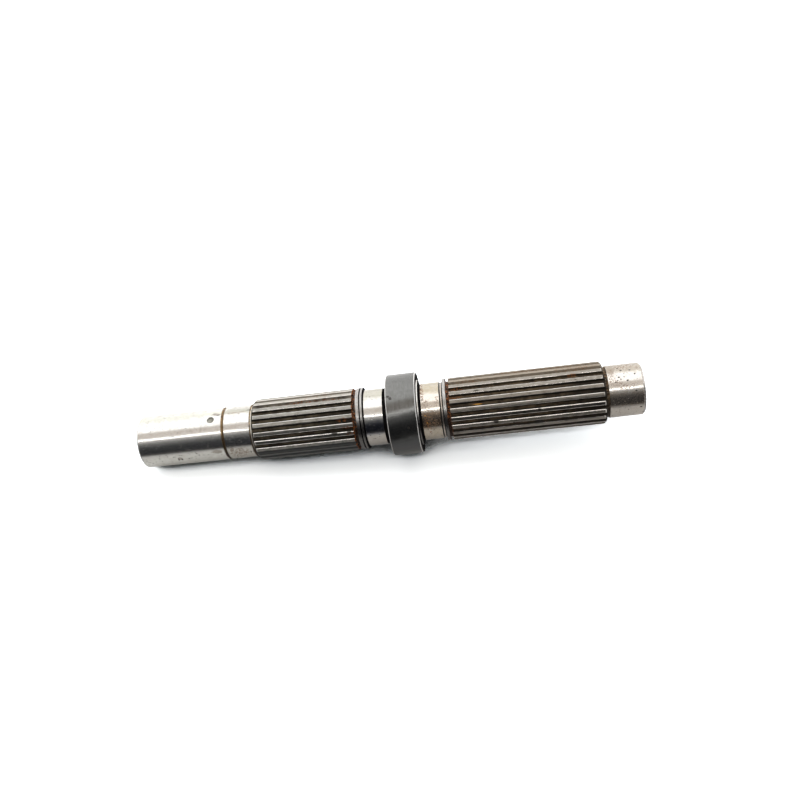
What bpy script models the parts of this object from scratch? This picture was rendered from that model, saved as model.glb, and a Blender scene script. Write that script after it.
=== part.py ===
"""Transmission reverse shaft: one steel forging, turned, splined and ground.

Metres, +Z up. The shaft stands on its left end, the wider of its two flat ends, because it
would roll when laid down. The origin is on its axis at the left end face, and the axis runs
up Z to the right end face. Stations are heights along the axis.

Angles about the axis are counted from +X towards +Y.
"""

import math

import bmesh
import bpy

# Bearing journals and the two mid journals beside the collar.
LEFT_JOURNAL_DIAMETER = 0.0260
LEFT_JOURNAL_LENGTH = 0.0427
SECOND_JOURNAL_DIAMETER = 0.0260
SECOND_JOURNAL_LENGTH = 0.0127
LEFT_MID_JOURNAL_LENGTH = 0.0090
RIGHT_MID_JOURNAL_LENGTH = 0.0089
MID_JOURNAL_DIAMETER = 0.0275
RIGHT_JOURNAL_DIAMETER = 0.0250
RIGHT_JOURNAL_LENGTH = 0.0167

# Narrow grooves, each cut below the journal that it borders.
RING_GROOVE_WIDTH = 0.0014
RING_GROOVE_DEPTH = 0.0006
END_GROOVE_WIDTH = 0.0015
END_GROOVE_DEPTH = 0.0005
LEFT_GRINDING_RELIEF_WIDTH = 0.0006
LEFT_COLLAR_RELIEF_WIDTH = 0.0022
RIGHT_COLLAR_RELIEF_WIDTH = 0.0011
RIGHT_GRINDING_RELIEF_WIDTH = 0.0018
GRINDING_RELIEF_DEPTH = 0.0004

# Splines: straight-sided hobbed teeth that run out into a groove beside a plain land.
# The teeth take their size from the module, as the basic rack of a hob does.
SPLINE_MODULE = 0.00125
TOOTH_COUNT = 22
SPLINE_CREST_DIAMETER = (TOOTH_COUNT + 2) * SPLINE_MODULE
TOOTH_HEIGHT = 1.04 * SPLINE_MODULE
SPACE_ROOT_WIDTH = 0.96 * SPLINE_MODULE
SPACE_CREST_WIDTH = 1.92 * SPLINE_MODULE
ROOT_CORNER = 0.20 * SPLINE_MODULE
CREST_EDGE_BREAK = 0.20 * SPLINE_MODULE
LEFT_SPLINE_LENGTH = 0.0497
RIGHT_SPLINE_LENGTH = 0.0727
SPLINE_END_CHAMFER = 0.0011
LEFT_CREST_ANGLE = math.radians(263.0)
RIGHT_CREST_ANGLE = math.radians(273.7)
RUNOUT_GROOVE_WIDTH = 0.0015
RUNOUT_GROOVE_DEPTH = 0.0003
LEFT_LAND_WIDTH = 0.0016
RIGHT_LAND_WIDTH = 0.0014
LIP_GROOVE_WIDTH = 0.0006
LIP_GROOVE_DEPTH = 0.0008
LIP_WIDTH = 0.0010

# Collar, with the low thrust step on its right face.
COLLAR_DIAMETER = 0.0395
COLLAR_WIDTH = 0.0145
COLLAR_CHAMFER = 0.0006
THRUST_STEP_DIAMETER = 0.0316
THRUST_STEP_WIDTH = 0.0006

# Ends: edge chamfers, and the 60 degree centres that the shaft was ground between.
LEFT_END_CHAMFER = 0.0009
RIGHT_END_CHAMFER = 0.0012
CENTRE_MOUTH_DIAMETER = 0.0067
CENTRE_PILOT_DIAMETER = 0.0031
CENTRE_PILOT_DEPTH = 0.0020
CENTRE_HALF_ANGLE = math.radians(30)

# Shallow drilled spot near the right end of the left journal.
SPOT_DIAMETER = 0.0034
SPOT_DEPTH = 0.0007
SPOT_POINT_ANGLE = math.radians(31)
SPOT_STATION = 0.0375
SPOT_ANGLE = math.radians(236.3)

FACETS = 66
SPOT_FACETS = 20
MERGE_DISTANCE = 0.00001
CUTTER_OVERSHOOT = 0.0010
SHARP_EDGE_ANGLE = math.radians(24)

STEEL_COLOUR = (0.42, 0.40, 0.37, 1.0)
STEEL_ROUGHNESS = 0.32
STEEL_METALLIC = 1.0


class Contour:
    """Corner points of a turned outline, from the left end on, and where each section lies."""

    def __init__(self):
        self.points = []
        self.station = 0.0
        self.sections = {}

    def turn(self, name, length, diameter, left_chamfer=0.0, right_chamfer=0.0):
        """Adds one plain cylindrical section to the right of what is there."""
        start = self.station
        end = start + length
        radius = diameter / 2
        if left_chamfer:
            self.points.append((start, radius - left_chamfer))
        self.points.append((start + left_chamfer, radius))
        self.points.append((end - right_chamfer, radius))
        if right_chamfer:
            self.points.append((end, radius - right_chamfer))
        self.sections[name] = (start, end)
        self.station = end


def shaft_contour():
    """The outside of the shaft, section by section from the left end to the right end."""
    contour = Contour()
    ring_groove_diameter = SECOND_JOURNAL_DIAMETER - 2 * RING_GROOVE_DEPTH
    end_groove_diameter = RIGHT_JOURNAL_DIAMETER - 2 * END_GROOVE_DEPTH
    runout_diameter = SPLINE_CREST_DIAMETER - 2 * (TOOTH_HEIGHT + RUNOUT_GROOVE_DEPTH)
    lip_groove_diameter = SPLINE_CREST_DIAMETER - 2 * LIP_GROOVE_DEPTH
    relief_diameter = MID_JOURNAL_DIAMETER - 2 * GRINDING_RELIEF_DEPTH

    contour.turn("left_journal", LEFT_JOURNAL_LENGTH, LEFT_JOURNAL_DIAMETER,
                 left_chamfer=LEFT_END_CHAMFER)
    contour.turn("ring_groove", RING_GROOVE_WIDTH, ring_groove_diameter)
    contour.turn("second_journal", SECOND_JOURNAL_LENGTH, SECOND_JOURNAL_DIAMETER)
    contour.turn("spline_groove", RING_GROOVE_WIDTH, ring_groove_diameter)
    contour.turn("left_spline", LEFT_SPLINE_LENGTH, SPLINE_CREST_DIAMETER,
                 left_chamfer=SPLINE_END_CHAMFER)
    contour.turn("left_runout", RUNOUT_GROOVE_WIDTH, runout_diameter)
    contour.turn("left_land", LEFT_LAND_WIDTH, SPLINE_CREST_DIAMETER)
    contour.turn("lip_groove", LIP_GROOVE_WIDTH, lip_groove_diameter)
    contour.turn("lip", LIP_WIDTH, SPLINE_CREST_DIAMETER)
    contour.turn("lip_relief", LEFT_GRINDING_RELIEF_WIDTH, relief_diameter)
    contour.turn("left_mid_journal", LEFT_MID_JOURNAL_LENGTH, MID_JOURNAL_DIAMETER)
    contour.turn("left_collar_relief", LEFT_COLLAR_RELIEF_WIDTH, relief_diameter)
    contour.turn("collar", COLLAR_WIDTH, COLLAR_DIAMETER,
                 left_chamfer=COLLAR_CHAMFER, right_chamfer=COLLAR_CHAMFER)
    contour.turn("thrust_step", THRUST_STEP_WIDTH, THRUST_STEP_DIAMETER)
    contour.turn("right_collar_relief", RIGHT_COLLAR_RELIEF_WIDTH, relief_diameter)
    contour.turn("right_mid_journal", RIGHT_MID_JOURNAL_LENGTH, MID_JOURNAL_DIAMETER)
    contour.turn("land_relief", RIGHT_GRINDING_RELIEF_WIDTH, relief_diameter)
    contour.turn("right_land", RIGHT_LAND_WIDTH, SPLINE_CREST_DIAMETER)
    contour.turn("right_runout", RUNOUT_GROOVE_WIDTH, runout_diameter)
    contour.turn("right_spline", RIGHT_SPLINE_LENGTH, SPLINE_CREST_DIAMETER,
                 right_chamfer=SPLINE_END_CHAMFER)
    contour.turn("end_groove", END_GROOVE_WIDTH, end_groove_diameter)
    contour.turn("right_journal", RIGHT_JOURNAL_LENGTH, RIGHT_JOURNAL_DIAMETER,
                 right_chamfer=RIGHT_END_CHAMFER)
    return contour


def centre_hole(face_station, inward):
    """Points of a centre hole, from its bottom on the axis out to its mouth on the end face."""
    mouth_radius = CENTRE_MOUTH_DIAMETER / 2
    pilot_radius = CENTRE_PILOT_DIAMETER / 2
    cone_depth = (mouth_radius - pilot_radius) / math.tan(CENTRE_HALF_ANGLE)
    bottom = face_station + inward * (cone_depth + CENTRE_PILOT_DEPTH)
    return [
        (bottom, 0.0),
        (bottom, pilot_radius),
        (face_station + inward * cone_depth, pilot_radius),
        (face_station, mouth_radius),
    ]


def new_object(name, mesh, collection):
    """Links a mesh object to a collection."""
    created = bpy.data.objects.new(name, mesh)
    collection.objects.link(created)
    return created


def turned_object(name, outline, facets, collection):
    """A solid of revolution about Z from (station, radius) points given from low to high."""
    mesh = bpy.data.meshes.new(name)
    corners = [(radius, 0.0, station) for station, radius in reversed(outline)]
    edges = [(index, index + 1) for index in range(len(corners) - 1)]
    mesh.from_pydata(corners, edges, [])
    turned = new_object(name, mesh, collection)
    screw = turned.modifiers.new("turn", "SCREW")
    screw.axis = "Z"
    screw.angle = 2 * math.pi
    screw.steps = facets
    screw.render_steps = facets
    screw.use_merge_vertices = True
    screw.merge_threshold = MERGE_DISTANCE
    return turned


def tooth_space_outline():
    """Half of one tooth space as (offset, radius) points, from its root out past the crests."""
    crest_radius = SPLINE_CREST_DIAMETER / 2
    root_radius = crest_radius - TOOTH_HEIGHT
    root_half = SPACE_ROOT_WIDTH / 2
    crest_half = SPACE_CREST_WIDTH / 2
    flank_slope = (crest_half - root_half) / TOOTH_HEIGHT
    return [
        (root_half - ROOT_CORNER, root_radius),
        (root_half + flank_slope * ROOT_CORNER, root_radius + ROOT_CORNER),
        (crest_half - flank_slope * CREST_EDGE_BREAK, crest_radius - CREST_EDGE_BREAK),
        (crest_half + CREST_EDGE_BREAK, crest_radius),
        (crest_half + CREST_EDGE_BREAK + CUTTER_OVERSHOOT, crest_radius + CUTTER_OVERSHOOT),
    ]


def tooth_space_cutter(name, first_space_angle, start, end, collection):
    """All tooth spaces of one spline, as straight prisms from one station to another."""
    right_side = tooth_space_outline()
    left_side = [(-offset, radius) for offset, radius in reversed(right_side)]
    body = bmesh.new()
    for tooth in range(TOOTH_COUNT):
        angle = first_space_angle + 2 * math.pi * tooth / TOOTH_COUNT
        out_x, out_y = math.cos(angle), math.sin(angle)
        corners = [
            body.verts.new((radius * out_x - offset * out_y, radius * out_y + offset * out_x, start))
            for offset, radius in right_side + left_side
        ]
        face = body.faces.new(corners)
        extruded = bmesh.ops.extrude_face_region(body, geom=[face])
        moved = [item for item in extruded["geom"] if isinstance(item, bmesh.types.BMVert)]
        bmesh.ops.translate(body, verts=moved, vec=(0.0, 0.0, end - start))
    bmesh.ops.recalc_face_normals(body, faces=body.faces)
    mesh = bpy.data.meshes.new(name)
    body.to_mesh(mesh)
    body.free()
    return new_object(name, mesh, collection)


def spot_cutter(collection):
    """The drill of the shallow spot, standing on the left journal and pointing at the axis."""
    surface_radius = LEFT_JOURNAL_DIAMETER / 2
    radius = SPOT_DIAMETER / 2
    shoulder = surface_radius - SPOT_DEPTH
    point = shoulder - radius * math.tan(SPOT_POINT_ANGLE)
    top = surface_radius + CUTTER_OVERSHOOT
    outline = [(point, 0.0), (shoulder, radius), (top, radius), (top, 0.0)]
    cutter = turned_object("spot_drill", outline, SPOT_FACETS, collection)
    cutter.location = (0.0, 0.0, SPOT_STATION)
    cutter.rotation_euler = (0.0, math.pi / 2, SPOT_ANGLE)
    return cutter


def cut(target, cutter):
    """Takes a cutter's shape out of the target and hides the cutter."""
    boolean = target.modifiers.new(cutter.name, "BOOLEAN")
    boolean.operation = "DIFFERENCE"
    boolean.solver = "EXACT"
    boolean.object = cutter
    cutter.hide_render = True
    cutter.display_type = "WIRE"


def finish_surface(shaft):
    """Replaces the modifiers by their result, shaded smooth with its true edges kept sharp."""
    evaluated = shaft.evaluated_get(bpy.context.evaluated_depsgraph_get())
    mesh = bpy.data.meshes.new_from_object(evaluated)
    mesh.name = shaft.name
    shaft.modifiers.clear()
    shaft.data = mesh
    mesh.shade_smooth()
    mesh.set_sharp_from_angle(angle=SHARP_EDGE_ANGLE)


def steel():
    """Plain ground steel."""
    material = bpy.data.materials.new("ground_steel")
    material.use_nodes = True
    shader = material.node_tree.nodes["Principled BSDF"]
    shader.inputs["Base Color"].default_value = STEEL_COLOUR
    shader.inputs["Roughness"].default_value = STEEL_ROUGHNESS
    shader.inputs["Metallic"].default_value = STEEL_METALLIC
    material.diffuse_color = STEEL_COLOUR
    return material


def build():
    """The shaft with its two splines and its drilled spot."""
    for existing in list(bpy.data.objects):
        bpy.data.objects.remove(existing)
    parts = bpy.data.collections.new("reverse_shaft_parts")
    cutters = bpy.data.collections.new("reverse_shaft_cutters")
    bpy.context.scene.collection.children.link(parts)
    bpy.context.scene.collection.children.link(cutters)

    contour = shaft_contour()
    left_centre = centre_hole(0.0, inward=1)
    right_centre = centre_hole(contour.station, inward=-1)
    outline = left_centre + contour.points + list(reversed(right_centre))

    shaft = turned_object("reverse_shaft", outline, FACETS, parts)
    shaft.data.materials.append(steel())

    half_pitch = math.pi / TOOTH_COUNT
    left_start, left_end = contour.sections["left_spline"]
    right_start, right_end = contour.sections["right_spline"]
    half_runout = RUNOUT_GROOVE_WIDTH / 2
    cut(shaft, tooth_space_cutter("left_hob", LEFT_CREST_ANGLE + half_pitch,
                                  left_start - RING_GROOVE_WIDTH / 2, left_end + half_runout,
                                  cutters))
    cut(shaft, tooth_space_cutter("right_hob", RIGHT_CREST_ANGLE + half_pitch,
                                  right_start - half_runout, right_end + END_GROOVE_WIDTH / 2,
                                  cutters))
    cut(shaft, spot_cutter(cutters))
    finish_surface(shaft)


build()
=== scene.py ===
"""Looks of the transmission reverse shaft: its fine surface, its steel, and the studio round it.

Metres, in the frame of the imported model. The shaft stands on its left end with its axis on Z, so
a station along it is a height. Angles about the axis are counted from +X towards +Y. The photograph
is taken from -Y with +Z at the picture's right, so -X is at the picture's top. The floor that the
shaft lies on in the photograph stands up with it, at the side away from the camera.
"""

import math

import bmesh
import bpy
from mathutils import Matrix, Vector

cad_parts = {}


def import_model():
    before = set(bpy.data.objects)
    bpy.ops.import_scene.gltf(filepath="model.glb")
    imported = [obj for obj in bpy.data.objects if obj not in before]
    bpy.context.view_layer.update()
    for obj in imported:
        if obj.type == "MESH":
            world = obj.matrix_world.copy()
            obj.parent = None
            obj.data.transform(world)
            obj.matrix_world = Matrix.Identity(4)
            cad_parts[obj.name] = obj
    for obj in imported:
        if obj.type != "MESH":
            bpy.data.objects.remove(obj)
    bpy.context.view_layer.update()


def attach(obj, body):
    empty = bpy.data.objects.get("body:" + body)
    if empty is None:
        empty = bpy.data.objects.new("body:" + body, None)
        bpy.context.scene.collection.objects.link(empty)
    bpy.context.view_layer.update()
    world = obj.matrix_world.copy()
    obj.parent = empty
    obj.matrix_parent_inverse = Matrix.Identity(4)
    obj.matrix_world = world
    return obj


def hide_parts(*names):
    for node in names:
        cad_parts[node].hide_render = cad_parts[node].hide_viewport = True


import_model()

MM = 0.001
DEG = math.pi / 180

# Sizes that several places share.
END_DIAMETER = 26.0 * MM
END_CHAMFER = 0.9 * MM
CREST_DIAMETER = 30.0 * MM
ROOT_DIAMETER = 27.4 * MM
RUNOUT_DIAMETER = 26.8 * MM
LAND_GROOVE_DIAMETER = 28.4 * MM
RELIEF_DIAMETER = 26.7 * MM
COLLAR_DIAMETER = 39.5 * MM
SPLINE_CHAMFER = 1.1 * MM
COLLAR_CHAMFER = 0.6 * MM

# Sections of the shaft, from the left end: name, length, diameter, left chamfer, right chamfer.
SECTIONS = [
    ("left_journal", 42.7 * MM, END_DIAMETER, END_CHAMFER, 0.0),
    ("ring_groove", 1.4 * MM, 24.8 * MM, 0.0, 0.0),
    ("second_journal", 12.7 * MM, 26.0 * MM, 0.0, 0.0),
    ("spline_groove", 1.4 * MM, 24.8 * MM, 0.0, 0.0),
    ("left_spline", 49.7 * MM, CREST_DIAMETER, SPLINE_CHAMFER, 0.0),
    ("left_runout", 1.5 * MM, RUNOUT_DIAMETER, 0.0, 0.0),
    ("left_land", 1.6 * MM, CREST_DIAMETER, 0.0, 0.0),
    ("lip_groove", 0.6 * MM, LAND_GROOVE_DIAMETER, 0.0, 0.0),
    ("lip", 1.0 * MM, CREST_DIAMETER, 0.0, 0.0),
    ("lip_relief", 0.6 * MM, RELIEF_DIAMETER, 0.0, 0.0),
    ("left_mid_journal", 9.0 * MM, 27.5 * MM, 0.0, 0.0),
    ("left_collar_relief", 2.2 * MM, RELIEF_DIAMETER, 0.0, 0.0),
    ("collar", 14.5 * MM, COLLAR_DIAMETER, COLLAR_CHAMFER, COLLAR_CHAMFER),
    ("thrust_step", 0.6 * MM, 31.6 * MM, 0.0, 0.0),
    ("right_collar_relief", 1.1 * MM, RELIEF_DIAMETER, 0.0, 0.0),
    ("right_mid_journal", 8.9 * MM, 27.5 * MM, 0.0, 0.0),
    ("land_relief", 1.8 * MM, RELIEF_DIAMETER, 0.0, 0.0),
    ("right_land", 1.4 * MM, CREST_DIAMETER, 0.0, 0.0),
    ("right_runout", 1.5 * MM, RUNOUT_DIAMETER, 0.0, 0.0),
    ("right_spline", 72.7 * MM, CREST_DIAMETER, 0.0, SPLINE_CHAMFER),
    ("end_groove", 1.5 * MM, 24.0 * MM, 0.0, 0.0),
    ("right_journal", 16.7 * MM, 25.0 * MM, 0.0, 1.2 * MM),
]
CENTRE_MOUTH_RADIUS = 3.35 * MM
CENTRE_PILOT_RADIUS = 1.55 * MM
CENTRE_PILOT_DEPTH = 2.0 * MM
CENTRE_HALF_ANGLE = 30 * DEG

# Arcs at corners: radius, widest steps, the most of an edge that an arc takes, and the turn below
# which there is no arc. Chamfers that cut teeth have rows across them.
CORNER_RADIUS = 0.12 * MM
CORNER_STEP = 46 * DEG
TOOTH_STEP = 20 * DEG
EDGE_SHARE = 0.45
STRAIGHT = 1 * DEG
CHAMFER_ROWS = 5

# Teeth, with fillets at the roots and broken crest edges.
TOOTH_COUNT = 22
SPACE_ROOT_HALF = 0.60 * MM
SPACE_CREST_HALF = 1.20 * MM
ROOT_FILLET = 0.34 * MM
CREST_ROUNDING = 0.55 * MM
LEFT_CREST_ANGLE = 263.0 * DEG
RIGHT_CREST_ANGLE = 273.7 * DEG

# Shallow drilled spot on the left journal.
SPOT_STATION = 37.5 * MM
SPOT_ANGLE = 236.3 * DEG
SPOT_RADIUS = 1.7 * MM
SPOT_DEPTH = 0.7 * MM
SPOT_CONE_SLOPE = 0.6
SPOT_WALL = 0.22 * MM
SPOT_ROW_STEP = 0.17 * MM

# Faces that meet at more than this angle keep a sharp edge.
SHARP_ANGLE = 50 * DEG


def section_places():
    """Each section's first and last station."""
    places = {}
    station = 0.0
    for name, length, *_ in SECTIONS:
        places[name] = (station, station + length)
        station += length
    return places


PLACES = section_places()
SHAFT_LENGTH = PLACES["right_journal"][1]


def section_radius(section):
    """Radius of a section."""
    return next(diameter for name, _, diameter, *_ in SECTIONS if name == section) / 2


def rounded(corners, largest_step):
    """A polyline with arcs at its corners, from (x, y, corner radius) points."""
    path = [corners[0][:2]]
    for before, corner, after in zip(corners, corners[1:], corners[2:]):
        here = Vector(corner[:2])
        back = Vector(before[:2]) - here
        ahead = Vector(after[:2]) - here
        turn = math.pi - back.angle(ahead)
        radius = corner[2]
        if radius == 0.0 or turn < STRAIGHT:
            path.append(tuple(here))
            continue
        reach = min(radius * math.tan(turn / 2), back.length * EDGE_SHARE, ahead.length * EDGE_SHARE)
        start = here + back.normalized() * reach
        end = here + ahead.normalized() * reach
        pieces = max(1, math.ceil(turn / largest_step))
        for piece in range(pieces + 1):
            share = piece / pieces
            near = start.lerp(here, share)
            far = here.lerp(end, share)
            path.append(tuple(near.lerp(far, share)))
    path.append(corners[-1][:2])
    return path


def centre_hole(face_station, inward):
    """Corners of a centre hole from its bottom on the axis out to its mouth."""
    cone = (CENTRE_MOUTH_RADIUS - CENTRE_PILOT_RADIUS) / math.tan(CENTRE_HALF_ANGLE)
    bottom = face_station + inward * (cone + CENTRE_PILOT_DEPTH)
    return [
        (bottom, 0.0, 0.0),
        (bottom, CENTRE_PILOT_RADIUS, CORNER_RADIUS),
        (face_station + inward * cone, CENTRE_PILOT_RADIUS, CORNER_RADIUS),
        (face_station, CENTRE_MOUTH_RADIUS, CORNER_RADIUS),
    ]


def shaft_contour():
    """The whole outline as (station, radius) points, from one centre hole to the other."""
    corners = centre_hole(0.0, 1)
    for name, _, diameter, left_chamfer, right_chamfer in SECTIONS:
        start, end = PLACES[name]
        radius = diameter / 2
        if left_chamfer:
            corners.append((start, radius - left_chamfer, CORNER_RADIUS))
            if name == "left_spline":
                corners.extend(chamfer_rows(start, radius - left_chamfer, left_chamfer, 1))
        corners.append((start + left_chamfer, radius, CORNER_RADIUS))
        if name == "left_journal":
            corners.extend(spot_rows(radius))
        corners.append((end - right_chamfer, radius, CORNER_RADIUS))
        if right_chamfer:
            if name == "right_spline":
                corners.extend(chamfer_rows(end - right_chamfer, radius, right_chamfer, -1))
            corners.append((end, radius - right_chamfer, CORNER_RADIUS))
    corners.extend(reversed(centre_hole(SHAFT_LENGTH, -1)))
    return rounded(corners, CORNER_STEP)


def chamfer_rows(station, radius, size, rise):
    """Rows between the two edges of a chamfer, close enough to follow the teeth that it cuts."""
    rows = []
    for row in range(1, CHAMFER_ROWS):
        share = size * row / CHAMFER_ROWS
        rows.append((station + share, radius + rise * share, 0.0))
    return rows


def spot_rows(radius):
    """Rows across the drilled spot."""
    reach = SPOT_RADIUS + SPOT_WALL
    count = math.ceil(2 * reach / SPOT_ROW_STEP)
    return [(SPOT_STATION - reach + 2 * reach * row / count, radius, 0.0) for row in range(count + 1)]


def tooth_pitch():
    """One tooth pitch as (angle, radius) points, from one space centre up to the next."""
    crest = CREST_DIAMETER / 2
    root = ROOT_DIAMETER / 2
    half_pitch = math.pi / TOOTH_COUNT
    corners = [
        (0.0, root, 0.0),
        (SPACE_ROOT_HALF * crest / root, root, ROOT_FILLET),
        (SPACE_CREST_HALF, crest, CREST_ROUNDING),
        (half_pitch * crest, crest, 0.0),
    ]
    half = [(x / crest, radius) for x, radius in rounded(corners, TOOTH_STEP)]
    mirrored = [(2 * half_pitch - angle, radius) for angle, radius in reversed(half[1:-1])]
    return half + mirrored


def tooth_columns(crest_angle):
    """Angle and radius of every column of a spline, all the way round."""
    pitch = 2 * math.pi / TOOTH_COUNT
    first_space = crest_angle + pitch / 2
    columns = []
    for tooth in range(TOOTH_COUNT):
        for angle, radius in tooth_pitch():
            columns.append((first_space + tooth * pitch + angle, radius))
    return columns


def spot_distance(station, angle, radius):
    """How far a point of the left journal is from the middle of the drilled spot."""
    around = (angle - SPOT_ANGLE + math.pi) % (2 * math.pi) - math.pi
    return math.hypot(station - SPOT_STATION, around * radius)


def spot_depth(station, angle, radius):
    """How deep the drilled spot is at a point of the left journal."""
    inside = max(0.0, SPOT_RADIUS - spot_distance(station, angle, radius))
    wall = min(1.0, inside / SPOT_WALL)
    return SPOT_DEPTH * wall + SPOT_CONE_SLOPE * max(0.0, inside - SPOT_WALL)


def blend_share(station, start, end):
    """0 before start, 1 after end, and even between."""
    return min(1.0, max(0.0, (station - start) / (end - start)))


def shaft_surface():
    """Rings of points that make the surface, from the left centre hole to the right one."""
    left = tooth_columns(LEFT_CREST_ANGLE)
    right = tooth_columns(RIGHT_CREST_ANGLE)
    if right[0][0] - left[0][0] > math.pi / TOOTH_COUNT:
        right = [(angle - 2 * math.pi / TOOTH_COUNT, radius) for angle, radius in right]
    count = len(left)
    even = [left[0][0] + 2 * math.pi * column / count for column in range(count)]
    ring_start, ring_end = PLACES["second_journal"]
    collar_start, collar_end = PLACES["collar"]
    half_runout = (PLACES["left_runout"][1] - PLACES["left_runout"][0]) / 2
    left_start, left_end = PLACES["left_spline"]
    right_start, right_end = PLACES["right_spline"]
    rings = []
    for station, contour_radius in shaft_contour():
        to_left = blend_share(station, ring_start, ring_end)
        to_right = blend_share(station, collar_start + COLLAR_CHAMFER, collar_end - COLLAR_CHAMFER)
        in_left = left_start - half_runout < station < left_end + half_runout
        in_right = right_start - half_runout < station < right_end + half_runout
        ring = []
        for column in range(count):
            angle = even[column] + to_left * (left[column][0] - even[column])
            angle += to_right * (right[column][0] - left[column][0])
            radius = contour_radius
            if in_left:
                radius = min(radius, left[column][1])
            if in_right:
                radius = min(radius, right[column][1])
            if abs(station - SPOT_STATION) < SPOT_RADIUS and radius > CENTRE_MOUTH_RADIUS:
                radius -= spot_depth(station, angle, contour_radius)
            ring.append((radius * math.cos(angle), radius * math.sin(angle), station))
        rings.append(ring)
    return rings


def surface_mesh(name, rings):
    """A closed mesh from rings of points whose first and last shrink to one point."""
    body = bmesh.new()
    first = body.verts.new((0.0, 0.0, rings[0][0][2]))
    last = body.verts.new((0.0, 0.0, rings[-1][0][2]))
    loops = [[body.verts.new(point) for point in ring] for ring in rings[1:-1]]
    count = len(loops[0])
    for column in range(count):
        after = (column + 1) % count
        body.faces.new((first, loops[0][after], loops[0][column]))
        body.faces.new((last, loops[-1][column], loops[-1][after]))
        for low, high in zip(loops, loops[1:]):
            body.faces.new((low[column], low[after], high[after], high[column]))
    bmesh.ops.recalc_face_normals(body, faces=body.faces)
    mesh = bpy.data.meshes.new(name)
    body.to_mesh(mesh)
    body.free()
    return mesh


class Graph:
    """Short ways to add nodes to a material or a world."""

    def __init__(self, tree):
        self.tree = tree
        self.tree.nodes.clear()

    def add(self, kind, **settings):
        made = self.tree.nodes.new(kind)
        for name, value in settings.items():
            setattr(made, name, value)
        return made

    def set(self, socket, value):
        if isinstance(value, bpy.types.NodeSocket):
            self.tree.links.new(value, socket)
        else:
            socket.default_value = value

    def math(self, operation, *values, clamp=False):
        made = self.add("ShaderNodeMath", operation=operation, use_clamp=clamp)
        for socket, value in zip(made.inputs, values):
            self.set(socket, value)
        return made.outputs[0]

    def ramp(self, value, low, high, out_low=0.0, out_high=1.0):
        """Takes low..high smoothly to out_low..out_high."""
        made = self.add("ShaderNodeMapRange", interpolation_type="SMOOTHSTEP")
        for socket, number in zip(made.inputs, (value, low, high, out_low, out_high)):
            self.set(socket, number)
        return made.outputs[0]

    def mix(self, share, first, second):
        made = self.add("ShaderNodeMix", data_type="RGBA")
        self.set(made.inputs[0], share)
        self.set(made.inputs[6], first)
        self.set(made.inputs[7], second)
        return made.outputs[2]

    def mix_shader(self, share, first, second):
        made = self.add("ShaderNodeMixShader")
        self.set(made.inputs[0], share)
        self.set(made.inputs[1], first)
        self.set(made.inputs[2], second)
        return made.outputs[0]

    def noise(self, vector, scale, detail=3.0, roughness=0.55):
        made = self.add("ShaderNodeTexNoise")
        self.set(made.inputs["Vector"], vector)
        made.inputs["Scale"].default_value = scale
        made.inputs["Detail"].default_value = detail
        made.inputs["Roughness"].default_value = roughness
        return made.outputs[0]

    def spots(self, vector, scale, size):
        """1 in the middle of scattered dots of about that share of a cell, 0 between them."""
        made = self.add("ShaderNodeTexVoronoi")
        self.set(made.inputs["Vector"], vector)
        made.inputs["Scale"].default_value = scale
        return self.ramp(made.outputs["Distance"], size, size * 0.5)

    def scaled(self, vector, scales):
        made = self.add("ShaderNodeVectorMath", operation="MULTIPLY")
        self.set(made.inputs[0], vector)
        made.inputs[1].default_value = scales
        return made.outputs[0]


# How much slower a pattern changes round the shaft (rings) or along it (streaks).
RING_STRETCH = 0.03
STREAK_STRETCH = 0.06


class Place:
    """Where a shaded point is: in millimetres, along the shaft, about it and out from it."""

    def __init__(self, graph):
        coordinates = graph.add("ShaderNodeTexCoord")
        self.point = graph.scaled(coordinates.outputs["Object"], (1 / MM, 1 / MM, 1 / MM))
        split = graph.add("ShaderNodeSeparateXYZ")
        graph.set(split.inputs[0], self.point)
        across, deep, self.station = split.outputs
        left = graph.math("MULTIPLY", across, -1.0)
        near = graph.math("MULTIPLY", deep, -1.0)
        self.turn = graph.math("MULTIPLY", graph.math("ARCTAN2", left, near), 1 / DEG)
        squares = graph.math("ADD", graph.math("POWER", across, 2.0), graph.math("POWER", deep, 2.0))
        self.radius = graph.math("SQRT", squares)
        self.rings = graph.scaled(self.point, (RING_STRETCH, RING_STRETCH, 1.0))
        self.streaks = graph.scaled(self.point, (1.0, 1.0, STREAK_STRETCH))


def steel_shader(graph, colour, roughness, metallic, height, brushed=0.0, specular=0.5):
    """A Principled surface with relief from a height in millimetres, brushed round the shaft."""
    shader = graph.add("ShaderNodeBsdfPrincipled")
    shader.inputs["Specular IOR Level"].default_value = specular
    if brushed:
        shader.inputs["Anisotropic"].default_value = brushed
        around = graph.add("ShaderNodeTangent", direction_type="RADIAL", axis="Z")
        graph.set(shader.inputs["Tangent"], around.outputs[0])
    graph.set(shader.inputs["Base Color"], colour)
    graph.set(shader.inputs["Roughness"], roughness)
    graph.set(shader.inputs["Metallic"], metallic)
    bump = graph.add("ShaderNodeBump")
    bump.inputs["Strength"].default_value = 1.0
    bump.inputs["Distance"].default_value = MM
    graph.set(bump.inputs["Height"], height)
    graph.set(shader.inputs["Normal"], bump.outputs[0])
    output = graph.add("ShaderNodeOutputMaterial")
    graph.set(output.inputs[0], shader.outputs[0])


def new_material(name):
    material = bpy.data.materials.new(name)
    material.use_nodes = True
    return material, Graph(material.node_tree)


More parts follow.
